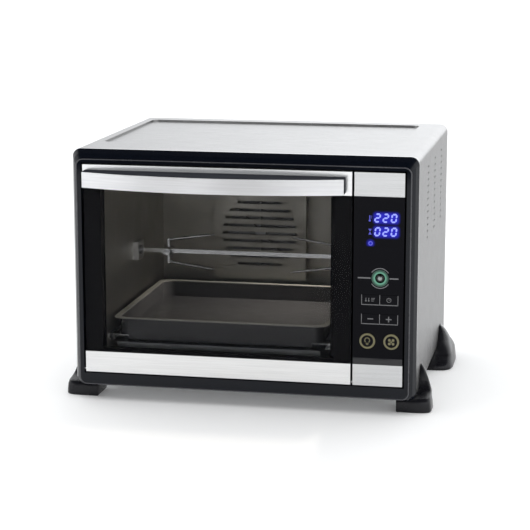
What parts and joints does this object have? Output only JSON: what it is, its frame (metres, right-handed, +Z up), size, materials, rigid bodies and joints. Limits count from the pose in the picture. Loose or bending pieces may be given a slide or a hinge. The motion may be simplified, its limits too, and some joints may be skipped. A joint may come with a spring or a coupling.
{
  "type": "toaster oven",
  "caption": "Counter-top rotisserie oven: steel case, drop-down glass door with bowed handle, turning spit, rack and tray, and a control column with push keys.",
  "frame": {"origin": "middle of the footprint's box, on the surface the feet stand on", "axes": "+X to the right along the front, -Y out of the door side, +Z up"},
  "size_m": [0.554, 0.477, 0.369],
  "materials": {
    "brushed_steel": "brushed, satin",
    "cover_steel": "brushed, satin",
    "galvanised_steel": "dull galvanised sheet",
    "cavity_steel": "matt aluminised sheet",
    "black_plastic": "moulded, half gloss",
    "fascia_plastic": "high gloss",
    "foot_plastic": "satin moulded",
    "door_paint": "satin black enamel",
    "tinted_glass": "polished, smoked",
    "clear_glass": "polished",
    "chromed_wire": "bright",
    "heater_sheath": "oxidised steel sheath",
    "ceramic": "matt glazed",
    "enamel": "gloss enamel",
    "silicone": "matt",
    "motor_steel": "zinc plated",
    "lamp_glass": "frosted",
    "display_lens": "smoked lens",
    "display_blue": "lit segments",
    "ring_green": "lit ring",
    "button_metal": "polished dome",
    "key_plastic": "gloss",
    "round_key_gold": "pearl gold rim",
    "circuit_board": "solder mask"
  },
  "bodies": {
    "casing": {"outer_cover": "cover_steel", "back_panel": "galvanised_steel", "base_plate": "galvanised_steel", "front_bezel": "black_plastic", "front_frame": "door_paint", "cavity_left_wall": "cavity_steel", "cavity_right_wall": "cavity_steel", "cavity_roof": "cavity_steel", "cavity_floor": "cavity_steel", "cavity_rear_wall": "cavity_steel", "shelf_rails": "chromed_wire", "upper_heaters": "heater_sheath", "lower_heaters": "heater_sheath", "heater_bushes": "ceramic", "crumb_tray": "galvanised_steel", "fan_guard": "cavity_steel", "fan_motor": "motor_steel", "lamp_lens": "lamp_glass", "lamp_bulb": "lamp_glass", "temperature_probe": "chromed_wire", "spit_motor": "motor_steel", "spit_bearing": "chromed_wire", "hinge_pins": "chromed_wire", "column_fascia": "fascia_plastic", "column_trim_top": "brushed_steel", "column_trim_bottom": "brushed_steel", "display_window": "display_lens", "display_digits": "display_blue", "led_ring": "ring_green", "control_board": "circuit_board", "foot_front_left": "foot_plastic", "foot_front_right": "foot_plastic", "foot_rear_left": "foot_plastic", "foot_rear_right": "foot_plastic", "rear_fittings": "black_plastic"},
    "door": {"door_frame": "door_paint", "door_glass_outer": "tinted_glass", "door_glass_inner": "clear_glass", "door_trim_top": "brushed_steel", "door_trim_bottom": "brushed_steel", "door_seal": "silicone", "door_stays": "chromed_wire", "handle_band": "brushed_steel", "handle_back": "black_plastic", "handle_posts": "black_plastic"},
    "spit": {"spit_socket": "chromed_wire", "spit_rod": "chromed_wire", "spit_fork_left": "chromed_wire", "spit_fork_right": "chromed_wire", "fork_screws": "chromed_wire"},
    "rack": {"wire_rack": "chromed_wire", "baking_tray": "enamel"},
    "fan": {"fan_blade": "galvanised_steel"},
    "start_button": {"start_button": "button_metal"},
    "temperature_key": {"temperature_key": "key_plastic"},
    "time_key": {"time_key": "key_plastic"},
    "minus_key": {"minus_key": "key_plastic"},
    "plus_key": {"plus_key": "key_plastic"},
    "light_key": {"light_key": "round_key_gold"},
    "fan_key": {"fan_key": "round_key_gold"}
  },
  "joints": [
    {"name": "door_hinge", "type": "hinge", "parent": "casing", "child": "door", "pos_m": [-0.037, -0.1865, 0.047], "axis": [1, 0, 0], "range_deg": [0, 85]},
    {"name": "spit_turn", "type": "hinge", "parent": "casing", "child": "spit", "pos_m": [-0.04, 0.0015, 0.19], "axis": [1, 0, 0], "continuous": true},
    {"name": "fan_turn", "type": "hinge", "parent": "casing", "child": "fan", "pos_m": [-0.041, 0.1595, 0.195], "axis": [0, 1, 0], "continuous": true},
    {"name": "rack_slide", "type": "slide", "parent": "casing", "child": "rack", "axis": [0, -1, 0], "range_m": [0, 0.0816]},
    {"name": "start_button_press", "type": "slide", "parent": "casing", "child": "start_button", "axis": [0, 1, 0], "range_m": [0, 0.0012], "stiffness_N_per_m": 900},
    {"name": "temperature_key_press", "type": "slide", "parent": "casing", "child": "temperature_key", "axis": [0, 1, 0], "range_m": [0, 0.0012], "stiffness_N_per_m": 900},
    {"name": "time_key_press", "type": "slide", "parent": "casing", "child": "time_key", "axis": [0, 1, 0], "range_m": [0, 0.0012], "stiffness_N_per_m": 900},
    {"name": "minus_key_press", "type": "slide", "parent": "casing", "child": "minus_key", "axis": [0, 1, 0], "range_m": [0, 0.0012], "stiffness_N_per_m": 900},
    {"name": "plus_key_press", "type": "slide", "parent": "casing", "child": "plus_key", "axis": [0, 1, 0], "range_m": [0, 0.0012], "stiffness_N_per_m": 900},
    {"name": "light_key_press", "type": "slide", "parent": "casing", "child": "light_key", "axis": [0, 1, 0], "range_m": [0, 0.0012], "stiffness_N_per_m": 900},
    {"name": "fan_key_press", "type": "slide", "parent": "casing", "child": "fan_key", "axis": [0, 1, 0], "range_m": [0, 0.0012], "stiffness_N_per_m": 900}
  ],
  "couplings": [
    {"joint": "rack_slide", "follows": "door_hinge", "m_per_rad": 0.055}
  ]
}
